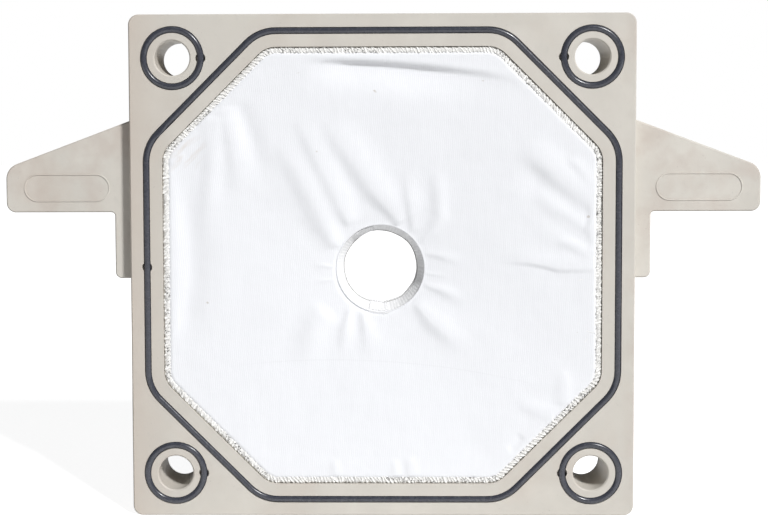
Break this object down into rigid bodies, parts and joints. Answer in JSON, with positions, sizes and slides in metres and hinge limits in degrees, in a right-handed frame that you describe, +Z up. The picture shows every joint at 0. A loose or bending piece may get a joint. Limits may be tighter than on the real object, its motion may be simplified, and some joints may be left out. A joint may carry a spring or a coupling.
{
  "type": "filter press plate",
  "caption": "Upright square chamber plate for a filter press, with two side handles, corner ports, a centre feed bore, an octagonal gasket in its groove and a filter cloth on each side.",
  "frame": {"origin": "on the feed bore's axis, half way between the two sealing faces and half way up the plate", "axes": "+X across the plate to the right-hand handle as seen from the gasketed face, +Y along the plate's normal from the gasketed face to the back face, +Z up"},
  "size_m": [0.709, 0.0574, 0.47],
  "materials": {
    "plate_polymer": "machined and moulded, matte",
    "seal_rubber": "smooth cord, slightly glossy",
    "filter_fabric": "close woven, calendered",
    "edge_thread": "overlocked thread on a rope"
  },
  "bodies": {
    "root": {"plate": "plate_polymer", "chamber_gasket": "seal_rubber", "port_seal_top_left": "seal_rubber", "port_seal_top_right": "seal_rubber", "port_seal_bottom_left": "seal_rubber", "port_seal_bottom_right": "seal_rubber", "front_edge_cord": "edge_thread", "back_edge_cord": "edge_thread", "cloth_neck": "filter_fabric", "front_cloth": "filter_fabric", "back_cloth": "filter_fabric"}
  },
  "joints": []
}
